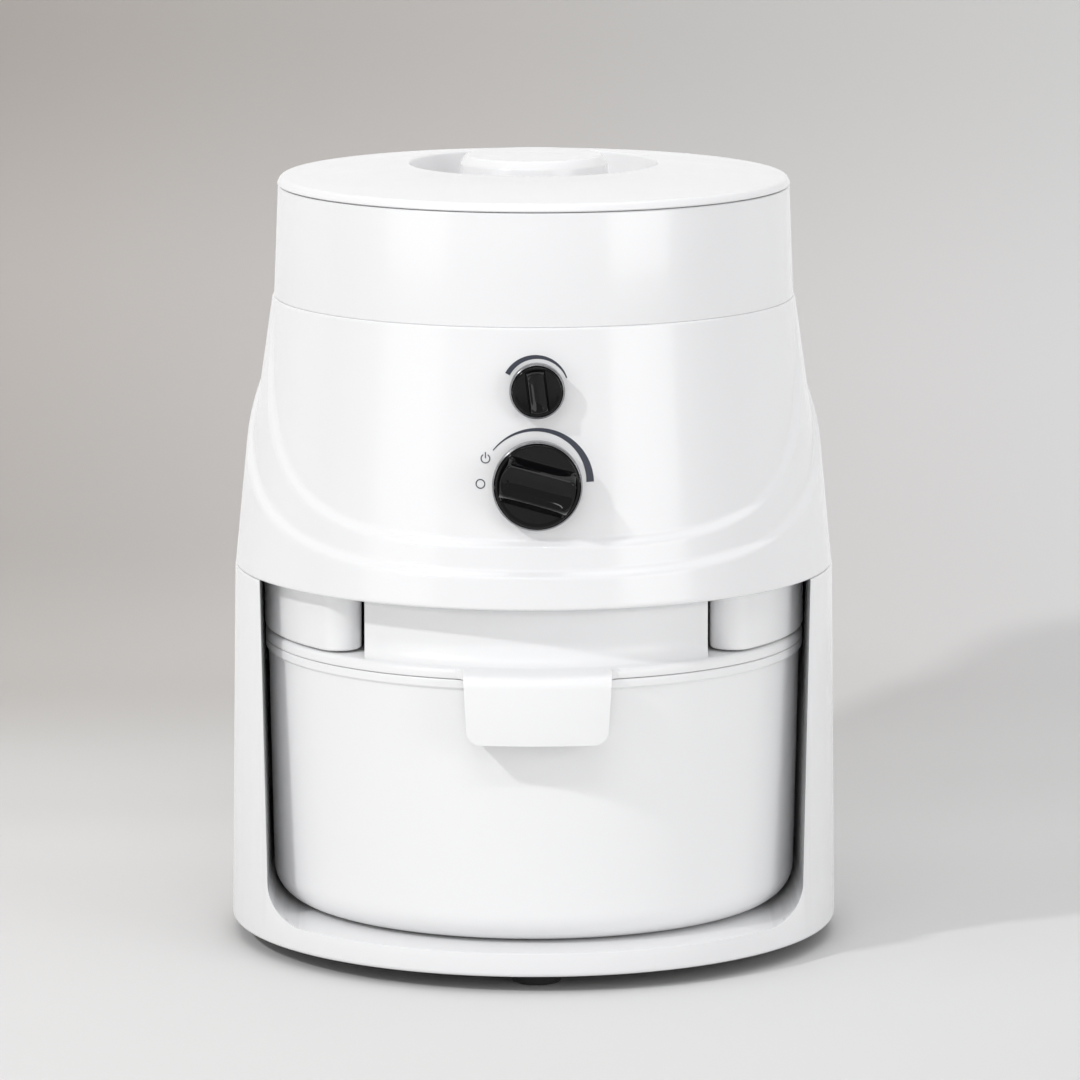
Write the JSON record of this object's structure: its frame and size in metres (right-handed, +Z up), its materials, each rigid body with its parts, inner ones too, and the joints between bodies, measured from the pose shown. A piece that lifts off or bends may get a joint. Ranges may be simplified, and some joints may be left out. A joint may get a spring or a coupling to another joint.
{
  "type": "electric grain mill",
  "caption": "Countertop grain mill: round hopper and milling head on an open round base, with a flour bowl that slides out to the front and two control knobs.",
  "frame": {"origin": "on the table, under the centre of the mill's outer box", "axes": "+Z up, -Y towards the front with the knobs and the bowl's handle, +X to the right seen from the front"},
  "size_m": [0.274, 0.284, 0.3537],
  "materials": {
    "white_shell": "glossy moulded ABS",
    "white_bowl": "semi-gloss moulded plastic",
    "underside": "moulded",
    "foot_rubber": "matt",
    "steel": "zinc plated",
    "nylon": "moulded nylon",
    "dark_plastic": "moulded",
    "board": "circuit board",
    "wire": "insulation",
    "cast_alloy": "die cast",
    "laminations": "stacked sheet",
    "copper": "enamelled wire",
    "brass": "pressed",
    "carbon": "pressed carbon",
    "burr_steel": "stainless",
    "seal": "silicone",
    "foam": "open foam",
    "knob_black": "high gloss",
    "knob_trim": "satin chrome"
  },
  "bodies": {
    "root": {"base_frame": "white_shell", "base_plate": "underside", "rubber_feet": "foot_rubber", "base_screws": "steel", "upper_housing": "white_shell", "housing_floor": "white_shell", "housing_screws": "steel", "hopper": "white_shell", "hopper_screws": "steel", "cord_inlet": "foot_rubber", "terminal_block": "nylon", "control_bracket": "steel", "control_screws": "steel", "feed_bush": "nylon", "speed_control": "dark_plastic", "power_switch": "dark_plastic", "switch_posts": "steel", "control_board": "board", "wiring": "wire", "motor_mounts": "foot_rubber", "lower_bracket": "cast_alloy", "upper_bracket": "cast_alloy", "motor_bolts": "steel", "motor_spacers": "steel", "motor_stator": "laminations", "field_windings": "copper", "lower_bearing": "steel", "upper_bearing": "steel", "brush_holders": "brass", "carbon_brushes": "carbon", "brush_springs": "steel", "mill_housing": "cast_alloy", "mill_cover": "cast_alloy", "mill_screws": "steel", "fixed_burr": "burr_steel", "gate_guide": "nylon", "flour_chute": "underside", "chute_gasket": "foot_rubber"},
    "lid": {"hopper_lid": "white_shell"},
    "bowl": {"flour_bowl": "white_bowl", "bowl_lid": "white_bowl", "bowl_gasket": "seal", "separator_cup": "white_bowl", "air_filter": "foam", "filter_cap": "white_bowl"},
    "feed_control": {"feed_knob": "knob_black", "feed_knob_ring": "knob_trim", "feed_shaft": "steel", "feed_pinion": "nylon"},
    "gate": {"feed_gate": "nylon"},
    "motor_control": {"motor_knob": "knob_black", "motor_knob_ring": "knob_trim", "speed_shaft": "steel"},
    "rotor": {"motor_shaft": "steel", "armature_core": "laminations", "armature_windings": "copper", "commutator": "copper", "cooling_fan": "dark_plastic", "rotor_burr": "burr_steel", "burr_nut": "steel"}
  },
  "joints": [
    {"name": "lid_lift", "type": "slide", "parent": "root", "child": "lid", "axis": [0, 0, 1], "range_m": [0, 0.06]},
    {"name": "bowl_slide", "type": "slide", "parent": "root", "child": "bowl", "axis": [0, -1, 0], "range_m": [0, 0.28]},
    {"name": "feed_turn", "type": "hinge", "parent": "root", "child": "feed_control", "pos_m": [0, -0.13, 0.2235], "axis": [0, 1, 0], "range_deg": [0, 171]},
    {"name": "gate_slide", "type": "slide", "parent": "root", "child": "gate", "axis": [1, 0, 0], "range_m": [0, 0.02685]},
    {"name": "motor_turn", "type": "hinge", "parent": "root", "child": "motor_control", "pos_m": [0, -0.125, 0.2643], "axis": [0, 1, 0], "range_deg": [-53, 72]},
    {"name": "motor_spin", "type": "hinge", "parent": "root", "child": "rotor", "pos_m": [0, 0, 0.21], "axis": [0, 0, 1], "continuous": true}
  ],
  "couplings": [
    {"joint": "feed_turn", "follows": "gate_slide", "rad_per_m": 111.11}
  ]
}
